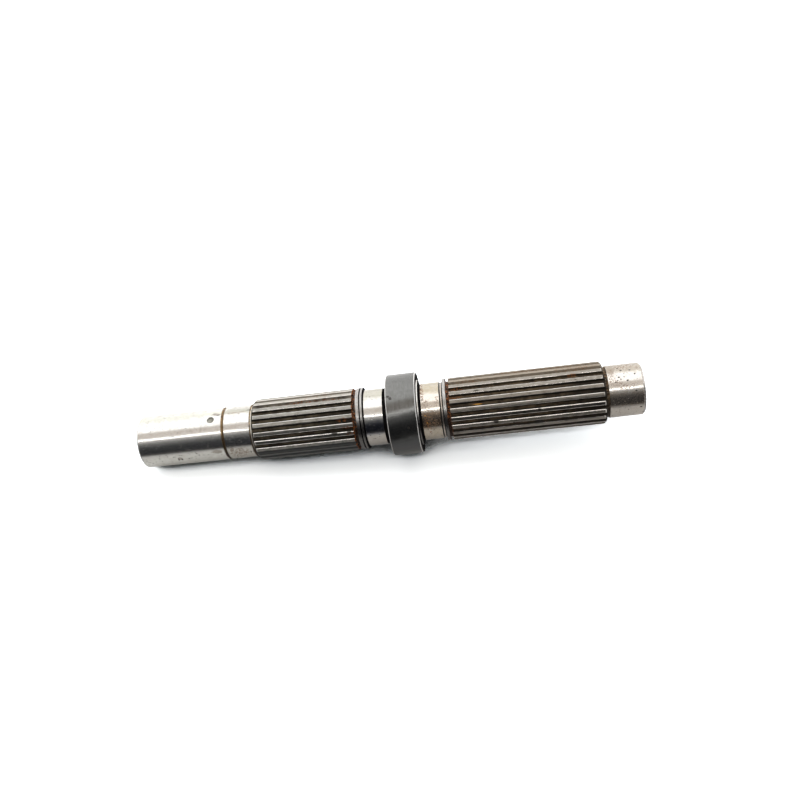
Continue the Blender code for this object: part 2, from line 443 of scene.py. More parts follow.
# Colours of the journals, of the films and scratches on them, and of the shaded rims of the ends.
BRIGHT_STEEL = (0.76, 0.75, 0.72, 1.0)
DULL_FILM = (0.52, 0.49, 0.45, 1.0)
BROWN_FILM = (0.40, 0.35, 0.30, 1.0)
SCRATCH = (0.34, 0.31, 0.28, 1.0)
SHADED_RIM = (0.07, 0.07, 0.07, 1.0)

# Colours of what lies in the grooves and between the teeth, and of the painted shade that darkens the
# reliefs, the narrow grooves, the flat sides of shoulders and the flanks of the teeth.
BLACK_OIL_AND_SHADE = (0.010, 0.008, 0.006, 1.0)
SHADED_BLACK_GREASE = (0.006, 0.006, 0.007, 1.0)
SHADED_BROWN_GREASE = (0.035, 0.028, 0.020, 1.0)
RELIEF_GREASE_AND_SHADE = (0.012, 0.011, 0.010, 1.0)
DARK_RUST = (0.045, 0.018, 0.009, 1.0)
LIGHT_RUST = (0.30, 0.10, 0.025, 1.0)
BROWN_GRIME = (0.055, 0.034, 0.018, 1.0)
LOWER_SIDE_BLACK = (0.020, 0.015, 0.010, 1.0)
GOLDEN_FLECKS = (0.60, 0.40, 0.18, 1.0)

# Colours of bare steel in dirty places, and of the lands, the collar and the drilled spot.
BARE_FLECKS = (0.70, 0.62, 0.50, 1.0)
BARE_LINE = (0.52, 0.46, 0.40, 1.0)
BROKEN_EDGE = (0.80, 0.79, 0.77, 1.0)
LAND_STREAKS = (0.16, 0.15, 0.14, 1.0)
LAND_DIRT = (0.12, 0.09, 0.07, 1.0)
LAND_SHADE = (0.10, 0.095, 0.09, 1.0)
COLLAR_GREYS = (0.165, 0.165, 0.158, 1.0), (0.125, 0.124, 0.115, 1.0)
COLLAR_RINGS = (0.24, 0.24, 0.24, 1.0)
DRILLED_GREYS = (0.30, 0.30, 0.26, 1.0), (0.48, 0.47, 0.42, 1.0)

# What marks are made of: colour, how much of the steel it hides, and whether it lies in specks.
DEPOSITS = {
    "stain": ((0.26, 0.20, 0.14, 1.0), 0.50, False),
    "dirt": ((0.030, 0.026, 0.021, 1.0), 0.95, False),
    "rust": ((0.22, 0.075, 0.020, 1.0), 0.85, True),
    "freckles": ((0.20, 0.105, 0.045, 1.0), 0.68, True),
    "ochre": ((0.60, 0.30, 0.060, 1.0), 0.92, False),
}

# Single marks that the photograph shows: deposit, station, degrees up from the camera's side,
# half length along the shaft and half width round it. Lengths are in mm.
LEFT_JOURNAL_MARKS = [
    ("dirt", 39.2, 50, 1.0, 0.30),
    ("dirt", 41.3, 45, 1.1, 0.32),
    ("stain", 40.3, 47, 2.2, 0.9),
    ("dirt", 18.7, -53, 0.30, 1.1),
    ("dirt", 20.4, -54, 0.35, 0.7),
    ("stain", 19.6, -51, 1.2, 1.0),
    ("dirt", 23.8, -54, 0.30, 0.4),
    ("stain", 39.0, -41, 2.6, 1.2),
    ("stain", 26.0, -74, 1.5, 0.5),
]
SECOND_JOURNAL_MARKS = [
    ("freckles", 46.6, 47, 1.0, 0.5),
    ("freckles", 48.8, 46, 1.3, 0.5),
    ("freckles", 51.6, 46, 1.5, 0.5),
    ("freckles", 54.2, 48, 1.5, 0.5),
    ("dirt", 56.2, 51, 1.1, 0.25),
    ("freckles", 50.0, -52, 5.0, 3.5),
    ("stain", 46.6, -39, 1.0, 1.3),
    ("stain", 47.8, -68, 0.5, 1.6),
    ("dirt", 49.4, -68, 0.4, 0.4),
    ("dirt", 55.4, -52, 0.3, 0.8),
]
LEFT_MID_MARKS = [
    ("dirt", 114.9, 49, 0.25, 0.20),
    ("dirt", 116.4, 46, 0.25, 0.30),
    ("dirt", 117.6, 38, 0.20, 0.20),
    ("stain", 115.2, 40, 0.30, 0.30),
]
COLLAR_MARKS = [
    ("dirt", 125.9, 26.6, 0.80, 0.60),
    ("dirt", 127.0, 23.2, 0.75, 0.80),
    ("dirt", 134.4, -20, 0.50, 0.60),
]
RIGHT_MID_MARKS = [
    ("rust", 141.3, 60, 0.65, 3.6),
    ("rust", 141.7, 34, 0.65, 4.6),
    ("freckles", 142.6, 16, 1.6, 2.2),
    ("freckles", 143.6, -6, 2.6, 3.0),
    ("rust", 143.0, -22, 1.4, 3.0),
    ("freckles", 144.6, -26, 2.8, 3.4),
    ("rust", 143.9, -44, 0.65, 2.0),
    ("rust", 141.0, 46, 0.55, 5.5),
    ("dirt", 141.0, 53, 0.32, 0.50),
    ("dirt", 141.2, 38, 0.26, 0.40),
    ("dirt", 141.3, 24, 0.28, 0.45),
    ("ochre", 142.2, -8, 0.36, 0.30),
    ("ochre", 142.8, -23, 0.30, 0.42),
    ("freckles", 148.3, 20, 0.9, 2.4),
    ("dirt", 149.6, 40, 0.22, 1.6),
]
RIGHT_JOURNAL_MARKS = [
    ("dirt", 233.7, 56, 0.55, 0.34),
    ("dirt", 235.0, 47, 0.46, 0.42),
    ("dirt", 239.0, 46, 0.55, 0.38),
    ("freckles", 242.3, 52, 0.8, 0.7),
    ("dirt", 240.9, 34, 0.40, 0.45),
    ("dirt", 233.5, 29, 0.46, 0.40),
    ("dirt", 234.3, 24, 0.32, 0.34),
    ("dirt", 235.9, 29, 0.30, 0.34),
    ("dirt", 232.8, 22, 0.30, 0.30),
    ("dirt", 237.2, 20, 0.50, 0.40),
    ("dirt", 231.7, 18, 0.40, 0.34),
    ("freckles", 232.4, 15, 2.4, 1.6),
    ("freckles", 236.0, 6, 4.5, 1.2),
    ("dirt", 240.6, -4, 0.60, 0.42),
    ("dirt", 242.4, -43, 0.55, 0.38),
    ("dirt", 243.6, -61, 0.30, 0.5),
    ("dirt", 234.3, -72, 0.25, 0.4),
    ("dirt", 235.5, -30, 0.60, 0.22),
    ("stain", 230.6, 62, 2.4, 4.6),
    ("freckles", 230.2, 34, 1.6, 4.6),
    ("freckles", 236.5, 62, 5.0, 2.6),
]
LEFT_SPLINE_MARKS = [
    ("dirt", 98.2, -23, 1.7, 0.45),
    ("dirt", 105.4, -23, 1.3, 0.40),
    ("rust", 106.0, -26, 2.4, 0.8),
    ("rust", 84.0, 49, 8.0, 1.0),
    ("rust", 96.0, 47, 6.0, 1.1),
    ("rust", 74.0, 47, 5.0, 0.8),
    ("rust", 103.5, 1, 3.6, 1.0),
    ("rust", 104.5, -14, 3.0, 0.9),
    ("freckles", 90.0, 62, 14.0, 1.6),
]
RIGHT_SPLINE_MARKS = [
    ("ochre", 167.4, 3.4, 2.2, 0.34),
    ("rust", 212.0, 40.5, 2.0, 0.70),
    ("dirt", 175.1, -33.5, 1.3, 0.8),
    ("dirt", 183.2, -42, 0.4, 1.2),
    ("dirt", 195.5, -18, 1.1, 0.45),
    ("dirt", 194.8, -47.5, 2.8, 0.5),
    ("dirt", 215.0, -45.5, 2.2, 0.4),
    ("dirt", 167.5, 29, 1.5, 0.25),
    ("dirt", 213.5, 29, 0.5, 0.25),
    ("rust", 157.5, 21, 3.0, 0.9),
    ("rust", 158.0, 38, 3.0, 0.9),
    ("freckles", 165.0, 54, 9.0, 1.6),
    ("freckles", 196.0, 72, 22.0, 2.4),
    ("freckles", 214.0, 60, 9.0, 2.0),
]


# Bands along the shaft, tinted by angle: from and to in degrees up from the camera's side, half the width
# of their soft edges in degrees, colour and share. They make the steel darker or paler on its upper or
# lower side; the collar's and the left spline's lower bands are painted shade.
LEFT_JOURNAL_TINTS = [
    (44, 62, 7, (0.56, 0.57, 0.49, 1.0), 0.8),
    (-150, -38, 5, (0.70, 0.71, 0.66, 1.0), 0.8),
]
SECOND_JOURNAL_TINTS = [
    (44, 62, 7, (0.36, 0.36, 0.30, 1.0), 0.9),
    (-150, -36, 6, (0.50, 0.49, 0.44, 1.0), 0.9),
]
LEFT_MID_TINTS = [
    (40, 130, 8, (0.43, 0.42, 0.35, 1.0), 0.95),
    (-150, -36, 8, (0.46, 0.43, 0.39, 1.0), 0.95),
    (-36, -10, 6, (0.35, 0.36, 0.42, 1.0), 0.9),
]
RIGHT_MID_TINTS = [
    (40, 130, 7, (0.42, 0.37, 0.27, 1.0), 0.95),
    (-36, -4, 5, (0.60, 0.40, 0.25, 1.0), 0.85),
    (-150, -36, 8, (0.47, 0.41, 0.32, 1.0), 0.95),
]
RIGHT_JOURNAL_TINTS = [
    (42, 130, 6, (0.38, 0.34, 0.28, 1.0), 0.95),
    (-36, -4, 5, (0.58, 0.48, 0.38, 1.0), 0.8),
    (-150, -38, 8, (0.50, 0.46, 0.41, 1.0), 0.95),
    (-150, -62, 6, (0.40, 0.36, 0.31, 1.0), 0.8),
]
COLLAR_TINTS_AND_SHADE = [
    # Painted shade: the collar's lower side is darkened.
    (-150, -34, 5, (0.072, 0.073, 0.074, 1.0), 0.8),
    (50, 130, 8, (0.12, 0.12, 0.115, 1.0), 0.6),
]
LEFT_SPLINE_TINTS_AND_SHADE = [
    (50, 130, 6, (0.60, 0.56, 0.49, 1.0), 0.35),
    # Painted shade: the lower side of the teeth is darkened.
    (-150, -46, 5, (0.085, 0.090, 0.088, 1.0), 0.90),
]
RIGHT_SPLINE_TINTS = [
    (52, 130, 8, (0.26, 0.22, 0.17, 1.0), 0.85),
    (76, 130, 5, (0.10, 0.085, 0.070, 1.0), 0.8),
]

# How far the edge of a mark wanders, and the half width in mm from which it wanders that far.
RAGGEDNESS = 3.0
RAGGED_FROM = 1.2

# How many degrees the edge of a tinted band wanders.
TINT_WANDER = 26.0

# How much of its metallic look the steel loses under a deposit.
DULLING = 0.8


def marked(graph, place, radius, marks, tone, metal):
    """Lays marks with ragged edges over a colour and a metallic value."""
    ragged = graph.math("SUBTRACT", graph.noise(place.point, 1.1, 5.0, 0.72), 0.5)
    specks = graph.ramp(graph.noise(place.point, 1.5, 3.0, 0.70), 0.49, 0.55)
    for deposit, (colour, opacity, in_specks) in DEPOSITS.items():
        cover = None
        for kind, station, turn, along, around in marks:
            if kind != deposit:
                continue
            per_degree = radius / MM * DEG / around
            offset = graph.add("ShaderNodeCombineXYZ")
            along_mark = graph.math("MULTIPLY_ADD", place.station, 1 / along, -station / along)
            round_mark = graph.math("MULTIPLY_ADD", place.turn, per_degree, -turn * per_degree)
            graph.set(offset.inputs[0], along_mark)
            graph.set(offset.inputs[1], round_mark)
            length = graph.add("ShaderNodeVectorMath", operation="LENGTH")
            graph.set(length.inputs[0], offset.outputs[0])
            wander = RAGGEDNESS * min(1.0, around / RAGGED_FROM)
            edge = graph.math("MULTIPLY_ADD", ragged, wander, length.outputs["Value"])
            patch = graph.ramp(edge, 1.25, 0.60)
            cover = patch if cover is None else graph.math("MAXIMUM", cover, patch)
        if cover is None:
            continue
        cover = graph.math("MULTIPLY", cover, opacity)
        if in_specks:
            cover = graph.math("MULTIPLY", cover, specks)
        tone = graph.mix(cover, tone, colour)
        metal = graph.math("SUBTRACT", metal, graph.math("MULTIPLY", cover, DULLING), clamp=True)
    return tone, metal


def tinted_by_angle(graph, place, tint_bands, tone):
    """Tints bands along the shaft: from and to in degrees up, softness, colour and share."""
    wobble = graph.math("SUBTRACT", graph.noise(place.point, 0.30, 4.0, 0.65), 0.5)
    turn = graph.math("MULTIPLY_ADD", wobble, TINT_WANDER, place.turn)
    for low, high, soft, colour, share in tint_bands:
        below = graph.ramp(turn, low - soft, low + soft, 0.0, share)
        above = graph.ramp(turn, high - soft, high + soft, 1.0, 0.0)
        tone = graph.mix(graph.math("MULTIPLY", below, above), tone, colour)
    return tone


def journal_steel(name, section, colour, roughness, haze, tint_bands, marks):
    """Ground steel: fine rings round the shaft, bands tinted by angle, specks, single marks and painted
    shade on the end rims.
    """
    material, graph = new_material(name)
    place = Place(graph)
    rings = graph.noise(place.rings, 9.0, 4.0, 0.7)
    cloud = graph.noise(place.point, 0.45, 5.0, 0.65)
    grain = graph.noise(place.point, 2.2, 4.0, 0.7)
    tone = tinted_by_angle(graph, place, tint_bands, colour)
    tone = graph.mix(graph.ramp(cloud, 0.40, 0.75, 0.0, 0.5), tone, DULL_FILM)
    tone = graph.mix(graph.ramp(grain, 0.35, 0.75, 0.0, 0.35), tone, BROWN_FILM)
    scratches = graph.noise(place.streaks, 3.2, 4.0, 0.75)
    tone = graph.mix(graph.ramp(scratches, 0.55, 0.80, 0.0, 0.35), tone, SCRATCH)
    specks = graph.spots(graph.scaled(place.point, (1.0, 1.0, 0.6)), 1.0, 0.24)
    patchy = graph.ramp(graph.noise(place.point, 0.25, 2.0), 0.44, 0.58)
    lower = graph.ramp(place.turn, -20, -44, 0.45, 1.0)
    speck = graph.math("MULTIPLY", graph.math("MULTIPLY", specks, patchy), lower)
    tone = graph.mix(speck, tone, DEPOSITS["dirt"][0])
    metal = graph.math("SUBTRACT", 1.0 - haze, graph.math("MULTIPLY", speck, DULLING))
    tone, metal = marked(graph, place, section_radius(section), marks, tone, metal)
    # Painted shade: the rims of both ends are darkened, most on their lower side.
    low_end = graph.ramp(place.station, 0.95, 0.60)
    high_end = graph.ramp(place.station, SHAFT_LENGTH / MM - 1.2, SHAFT_LENGTH / MM - 0.9)
    lower_side = graph.ramp(place.turn, 16, -6, 0.2, 0.9)
    rims = graph.math("MULTIPLY", graph.math("ADD", low_end, high_end), lower_side)
    tone = graph.mix(rims, tone, SHADED_RIM)
    rough = graph.ramp(rings, 0.25, 0.75, roughness * 0.8, roughness * 1.3)
    rough = graph.math("ADD", rough, graph.math("MULTIPLY", graph.ramp(cloud, 0.40, 0.75), 0.05))
    rough = graph.math("ADD", rough, graph.math("MULTIPLY", graph.ramp(scratches, 0.45, 0.75), 0.05))
    height = graph.math("MULTIPLY", rings, 0.003)
    height = graph.math("SUBTRACT", height, graph.math("MULTIPLY", speck, 0.04))
    steel_shader(graph, tone, rough, metal, height, 0.5)
    return material


def spline_steel(name, crest_colour, edge_colour, light_deposit, dark_deposit, tint_bands, oily_from,
                 rusty_stations, marks):
    """Oily splines: dull crests with rubbed bright edges, a brown deposit in the spaces, painted black
    shade on the flanks, and a band of painted highlight on the edges below the camera's side.

    The deposit turns to black oil over 25 mm from the station oily_from on.
    """
    material, graph = new_material(name)
    place = Place(graph)
    streaks = graph.noise(place.streaks, 1.6, 4.0, 0.65)
    fine = graph.noise(place.streaks, 5.0, 3.0, 0.6)
    cloud = graph.noise(place.point, 0.28, 4.0, 0.62)
    depth = graph.math("SUBTRACT", CREST_DIAMETER / 2 / MM, place.radius)
    # Painted highlight: from about 8 to 52 degrees below the camera's side, most from 24 to 42, the
    # bright rubbed edges reach further down the teeth and the deposit starts deeper.
    glint_band = graph.ramp(place.turn, -8, -24, 0.0, 0.22)
    glint_band = graph.math("MULTIPLY", graph.ramp(place.turn, -52, -42), glint_band)
    wander = graph.math("MULTIPLY_ADD", graph.math("SUBTRACT", streaks, 0.5), 0.25, depth)
    wander = graph.math("SUBTRACT", wander, glint_band)
    deposit = graph.ramp(wander, 0.10, 0.22)
    rubbed = graph.math("MULTIPLY", graph.ramp(depth, 0.01, 0.05), graph.ramp(wander, 0.22, 0.10))
    crest = graph.mix(graph.ramp(fine, 0.30, 0.75, 0.0, 0.55), crest_colour, dark_deposit)
    crest = graph.mix(graph.ramp(cloud, 0.50, 0.75, 0.0, 0.4), crest, dark_deposit)
    bright = graph.math("MULTIPLY", rubbed, graph.ramp(fine, 0.62, 0.50, 0.45, 1.0))
    tone = graph.mix(bright, crest, edge_colour)
    mixed = graph.math("MULTIPLY_ADD", graph.math("SUBTRACT", streaks, 0.5), 0.7, cloud)
    grime = graph.mix(graph.ramp(mixed, 0.30, 0.70), light_deposit, dark_deposit)
    # Painted shade: the flanks of the teeth are painted black, most on the lower side.
    shaded_flank = graph.math("MULTIPLY", graph.ramp(depth, 0.15, 0.35), graph.ramp(depth, 1.24, 1.05))
    shaded_flank = graph.math("MULTIPLY", shaded_flank, graph.ramp(place.turn, 50, 25, 0.15, 0.85))
    oily = graph.ramp(place.station, oily_from, oily_from + 25, 0.0, 0.8)
    oily = graph.math("MULTIPLY", oily, graph.ramp(place.turn, 42, 20))
    grime = graph.mix(graph.math("MAXIMUM", shaded_flank, oily), grime, BLACK_OIL_AND_SHADE)
    tone = graph.mix(deposit, tone, grime)
    tone = tinted_by_angle(graph, place, tint_bands, tone)
    metal = graph.math("SUBTRACT", 1.0, graph.math("MULTIPLY", deposit, 0.85))
    gone_rusty = None
    for station, reach in rusty_stations:
        away = graph.math("ABSOLUTE", graph.math("SUBTRACT", place.station, station))
        away = graph.math("MULTIPLY_ADD", graph.noise(place.point, 0.9, 3.0, 0.7), -2.2 * reach, away)
        near = graph.ramp(away, -0.4 * reach, -0.6 * reach)
        gone_rusty = near if gone_rusty is None else graph.math("MAXIMUM", gone_rusty, near)
    rusty_share = graph.ramp(graph.noise(place.point, 1.6, 3.0), 0.42, 0.60)
    rusty_tone = graph.mix(rusty_share, DARK_RUST, LIGHT_RUST)
    tone = graph.mix(gone_rusty, tone, rusty_tone)
    metal = graph.math("SUBTRACT", metal, graph.math("MULTIPLY", gone_rusty, DULLING), clamp=True)
    tone, metal = marked(graph, place, CREST_DIAMETER / 2, marks, tone, metal)
    rough = graph.ramp(streaks, 0.3, 0.7, 0.30, 0.42)
    rough = graph.math("SUBTRACT", rough, graph.math("MULTIPLY", rubbed, 0.21))
    rough = graph.math("ADD", rough, graph.math("MULTIPLY", deposit, 0.15))
    height = graph.math("MULTIPLY", fine, 0.010)
    steel_shader(graph, tone, rough, metal, height, specular=0.12)
    return material


def rusty_groove(name, dark, light, bare_share):
    """A groove full of dark rust, with lighter patches towards its upper side and bare flecks all round.
    """
    material, graph = new_material(name)
    place = Place(graph)
    cloud = graph.noise(place.point, 0.9, 4.0, 0.70)
    upper_side = graph.ramp(place.turn, -34, -8, 0.05, 1.0)
    patches = graph.math("MULTIPLY", graph.ramp(cloud, 0.50, 0.59), upper_side)
    tone = graph.mix(patches, dark, light)
    fleck = graph.math("MULTIPLY", graph.ramp(graph.noise(place.point, 2.6, 2.0), 0.56, 0.64), bare_share)
    tone = graph.mix(fleck, tone, BARE_FLECKS)
    metal = graph.math("MULTIPLY", fleck, 0.9)
    steel_shader(graph, tone, 0.6, metal, graph.math("MULTIPLY", cloud, 0.08), specular=0.15)
    return material


def grimy_groove(name, section, middle):
    """A thin groove with brown grime and golden flecks, and a middle of its own colour that turns black
    towards its lower side.
    """
    material, graph = new_material(name)
    place = Place(graph)
    start, end = (station / MM for station in PLACES[section])
    grain = graph.noise(graph.scaled(place.point, (1.0, 1.0, 0.4)), 1.9, 3.0, 0.7)
    flecks = graph.ramp(grain, 0.43, 0.55)
    flecks = graph.math("MULTIPLY", flecks, graph.ramp(place.turn, -30, 15, 0.10, 0.90))
    tone = graph.mix(flecks, BROWN_GRIME, GOLDEN_FLECKS)
    from_middle = graph.math("ABSOLUTE", graph.math("SUBTRACT", place.station, (start + end) / 2))
    inside = graph.ramp(from_middle, 0.38, 0.26)
    middle = graph.mix(graph.ramp(place.turn, -55, -20), LOWER_SIDE_BLACK, middle)
    tone = graph.mix(inside, tone, middle)
    steel_shader(graph, tone, 0.4, 0.6, graph.math("MULTIPLY", flecks, 0.02))
    return material


def land_steel(name, colour, grime):
    """Narrow turned lands: grey, streaked round the shaft, and darker on their lower side."""
    material, graph = new_material(name)
    place = Place(graph)
    rings = graph.noise(place.rings, 5.0, 3.0, 0.7)
    grain = graph.noise(place.point, 1.2, 4.0, 0.7)
    tone = graph.mix(graph.ramp(rings, 0.35, 0.65, 0.0, grime), colour, LAND_STREAKS)
    tone = graph.mix(graph.ramp(grain, 0.50, 0.75, 0.0, grime), tone, LAND_DIRT)
    tone = graph.mix(graph.ramp(place.turn, 4, -22, 0.0, 0.85), tone, LAND_SHADE)
    rough = graph.ramp(grain, 0.3, 0.7, 0.22, 0.40)
    steel_shader(graph, tone, rough, 0.95, graph.math("MULTIPLY", rings, 0.02))
    return material


def relief_steel(name, section):
    """A relief painted near black at its edges, as grease and painted shade, with a lighter line turned
    bare along its middle.
    """
    material, graph = new_material(name)
    place = Place(graph)
    start, end = (station / MM for station in PLACES[section])
    grain = graph.noise(place.point, 1.4, 3.0, 0.7)
    from_middle = graph.math("ABSOLUTE", graph.math("SUBTRACT", place.station, (start + end) / 2))
    from_middle = graph.math("MULTIPLY_ADD", graph.math("SUBTRACT", grain, 0.5), 0.3, from_middle)
    bare = graph.ramp(from_middle, 0.34, 0.20)
    tone = graph.mix(bare, RELIEF_GREASE_AND_SHADE, BARE_LINE)
    metal = graph.math("MULTIPLY", bare, 0.9)
    steel_shader(graph, tone, 0.35, metal, graph.math("MULTIPLY", grain, 0.02), specular=0.25)
    return material


def greased_shaded_groove(name):
    """Near black with hardly any shine, in narrow grooves and reliefs and on the flat sides of shoulders:
    black grease and painted shade.
    """
    material, graph = new_material(name)
    place = Place(graph)
    grain = graph.noise(place.point, 1.4, 3.0, 0.7)
    tone = graph.mix(graph.ramp(grain, 0.50, 0.75), SHADED_BLACK_GREASE, SHADED_BROWN_GREASE)
    steel_shader(graph, tone, 0.80, 0.0, graph.math("MULTIPLY", grain, 0.03), specular=0.02)
    return material


def collar_steel(name):
    """Dull heat-darkened steel with fine turning lines, a nick and bright broken edges."""
    material, graph = new_material(name)
    place = Place(graph)
    rings = graph.noise(place.rings, 6.0, 4.0, 0.7)
    cloud = graph.noise(place.point, 0.5, 5.0, 0.7)
    tone = graph.mix(graph.ramp(cloud, 0.3, 0.75), *COLLAR_GREYS)
    tone = graph.mix(graph.ramp(rings, 0.3, 0.8, 0.0, 0.5), tone, COLLAR_RINGS)
    tone = tinted_by_angle(graph, place, COLLAR_TINTS_AND_SHADE, tone)
    tone, metal = marked(graph, place, COLLAR_DIAMETER / 2, COLLAR_MARKS, tone, 0.94)
    inward = graph.math("SUBTRACT", COLLAR_DIAMETER / 2 / MM, place.radius)
    edge = graph.math("MULTIPLY", graph.ramp(inward, 0.06, 0.12), graph.ramp(inward, 0.40, 0.30))
    tone = graph.mix(edge, tone, BROKEN_EDGE)
    rough = graph.ramp(rings, 0.3, 0.7, 0.16, 0.22)
    steel_shader(graph, tone, rough, metal, graph.math("MULTIPLY", rings, 0.006), 0.7)
    return material


def drilled_steel(name):
    """The dull bottom of the drilled spot."""
    material, graph = new_material(name)
    place = Place(graph)
    cloud = graph.noise(place.point, 2.5, 3.0)
    tone = graph.mix(cloud, *DRILLED_GREYS)
    steel_shader(graph, tone, 0.5, 0.9, graph.math("MULTIPLY", cloud, 0.03))
    return material


def materials():
    """One finish for each kind of section."""
    rust = rusty_groove("rusty_groove", (0.030, 0.013, 0.007, 1.0), (0.34, 0.11, 0.024, 1.0), 0.25)
    end_grime = rusty_groove("end_groove", (0.040, 0.026, 0.016, 1.0), (0.20, 0.12, 0.055, 1.0), 0.30)
    grease_and_shade = greased_shaded_groove("greased_shaded_groove")
    land = land_steel("land_steel", (0.52, 0.51, 0.49, 1.0), 0.70)
    step = land_steel("step_steel", (0.76, 0.74, 0.70, 1.0), 0.25)
    collar = collar_steel("collar_steel")
    left_journal = journal_steel(
        "left_journal_steel", "left_journal", BRIGHT_STEEL, 0.13, 0.05,
        LEFT_JOURNAL_TINTS, LEFT_JOURNAL_MARKS)
    second_journal = journal_steel(
        "second_journal_steel", "second_journal", BRIGHT_STEEL, 0.13, 0.04,
        SECOND_JOURNAL_TINTS, SECOND_JOURNAL_MARKS)
    left_mid_journal = journal_steel(
        "left_mid_journal_steel", "left_mid_journal", BRIGHT_STEEL, 0.11, 0.005,
        LEFT_MID_TINTS, LEFT_MID_MARKS)
    right_mid_journal = journal_steel(
        "right_mid_journal_steel", "right_mid_journal", (0.76, 0.70, 0.62, 1.0), 0.12, 0.09,
        RIGHT_MID_TINTS, RIGHT_MID_MARKS)
    right_journal = journal_steel(
        "right_journal_steel", "right_journal", (0.76, 0.72, 0.67, 1.0), 0.13, 0.09,
        RIGHT_JOURNAL_TINTS, RIGHT_JOURNAL_MARKS)
    left_rust = PLACES["left_runout"][0] / MM
    right_rust = PLACES["right_runout"][1] / MM
    left_teeth = spline_steel(
        "left_spline_steel", crest_colour=(0.34, 0.33, 0.30, 1.0), edge_colour=(0.93, 0.91, 0.87, 1.0),
        light_deposit=(0.105, 0.086, 0.056, 1.0), dark_deposit=(0.034, 0.027, 0.018, 1.0),
        tint_bands=LEFT_SPLINE_TINTS_AND_SHADE, oily_from=82, rusty_stations=[(left_rust, 0.7)],
        marks=LEFT_SPLINE_MARKS)
    right_teeth = spline_steel(
        "right_spline_steel", crest_colour=(0.31, 0.285, 0.25, 1.0), edge_colour=(0.90, 0.86, 0.80, 1.0),
        light_deposit=(0.110, 0.080, 0.048, 1.0), dark_deposit=(0.034, 0.025, 0.016, 1.0),
        tint_bands=RIGHT_SPLINE_TINTS, oily_from=196, rusty_stations=[(right_rust, 0.25)],
        marks=RIGHT_SPLINE_MARKS)
    return {
        "left_journal": left_journal,
        "ring_groove": grimy_groove("ring_groove", "ring_groove", (0.11, 0.070, 0.035, 1.0)),
        "second_journal": second_journal,
        "spline_groove": grimy_groove("spline_groove", "spline_groove", (0.58, 0.55, 0.48, 1.0)),
        "left_spline": left_teeth,
        "left_runout": rust,
        "left_land": land,
        "lip_groove": grease_and_shade,
        "lip": land,
        "lip_relief": grease_and_shade,
        "left_mid_journal": left_mid_journal,
        "left_collar_relief": grease_and_shade,
        "collar": collar,
        "thrust_step": step,
        "right_collar_relief": grease_and_shade,
        "right_mid_journal": right_mid_journal,
        "land_relief": relief_steel("relief_steel", "land_relief"),
        "right_land": land,
        "right_runout": rust,
        "right_spline": right_teeth,
        "end_groove": end_grime,
        "right_journal": right_journal,
        "drilled_spot": drilled_steel("drilled_steel"),
    }


# Sections whose flat sides are painted near black, as grease and painted shade, and how squarely along
# the shaft such a side faces.
SHADED_GREASY_SHOULDERS = ["left_land", "lip", "collar", "thrust_step", "right_land"]
FLAT_SIDE = 0.9


def dress(shaft, finishes):
    """Gives every face the finish of the section that it lies in."""
    slots = []
    for material in finishes.values():
        if material not in slots:
            slots.append(material)
            shaft.data.materials.append(material)
    bounds = [(PLACES[name][1], slots.index(finishes[name])) for name in PLACES]
    drilled = slots.index(finishes["drilled_spot"])
    shaded_greasy_ends = [PLACES[name][1] for name in SHADED_GREASY_SHOULDERS]
    for polygon in shaft.data.polygons:
        centre = polygon.center
        for end, slot in bounds:
            if centre.z <= end:
                break
        # The flat sides of these shoulders take the near-black finish of grease and painted shade.
        if end in shaded_greasy_ends and abs(polygon.normal.z) > FLAT_SIDE:
            slot = slots.index(finishes["lip_groove"])
        distance = spot_distance(centre.z, math.atan2(centre.y, centre.x), centre.xy.length)
        in_spot = distance < SPOT_RADIUS and centre.xy.length > CENTRE_MOUTH_RADIUS
        polygon.material_index = drilled if in_spot else slot


def fine_shaft():
    """The finished surface, which stands for the plain solid."""
    mesh = surface_mesh("fine_reverse_shaft", shaft_surface())
    mesh.shade_smooth()
    mesh.set_sharp_from_angle(angle=SHARP_ANGLE)
    shaft = bpy.data.objects.new("fine_reverse_shaft", mesh)
    bpy.context.scene.collection.objects.link(shaft)
    weighted = shaft.modifiers.new("flat faces stay flat", "WEIGHTED_NORMAL")
    weighted.keep_sharp = True
    dress(shaft, materials())
    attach(shaft, "root")
    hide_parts("reverse_shaft")
    return shaft


# Floor: its size, the direction to it as an angle about the shaft's axis, and its colour for the
# light that it gives and for the camera.
FLOOR_SIZE = 8.0
FLOOR_ANGLE = 58 * DEG
FLOOR_COLOUR = (0.45, 0.45, 0.45, 1.0)
FLOOR_TO_CAMERA = (2.03, 2.12, 2.18, 1.0)

# Contact shadow: how far the shaft shades the floor, how dark, and the open share over which the
# shade fades.
CONTACT_REACH = 50 * MM
CONTACT_SHADE = 0.06
CONTACT_FADE = 0.30, 0.385

# What the steel mirrors of the floor: its brightness before and beyond the shaft, half the width
# of the change between them, and the stretch before the shaft in which it goes dark.
NEAR_FLOOR = 0.75
FAR_FLOOR = 1.32
FLOOR_CHANGE = 40 * MM
FLOOR_DARKENS = -185 * MM, -20 * MM
DARK_FLOOR_SHARE = 0.04

CARD_DISTANCE = 1.3
CARD_HEIGHT = 8.0
CARD_STRIPS = 24
WORLD_STRENGTH = 1.0

# Lamps: name, angle up in the picture from the camera's side, width, height and radiance.
LAMP_DISTANCE = 1.0
LAMPS = [
    ("key_lamp", 82 * DEG, 1.8, 1.6, 0.75),
    ("strip_lamp", 7 * DEG, 0.060, 2.4, 4.8),
]

# The photograph's camera, found from the shaft's own edges. Sensor and lens are in mm.
CAMERA_PLACE = (0.0, -435.46 * MM, 175.50 * MM)
CAMERA_TURN = (46.290 * DEG, -81.309 * DEG, 44.292 * DEG)
CAMERA_SENSOR = 36.0
CAMERA_LENS = 40.38

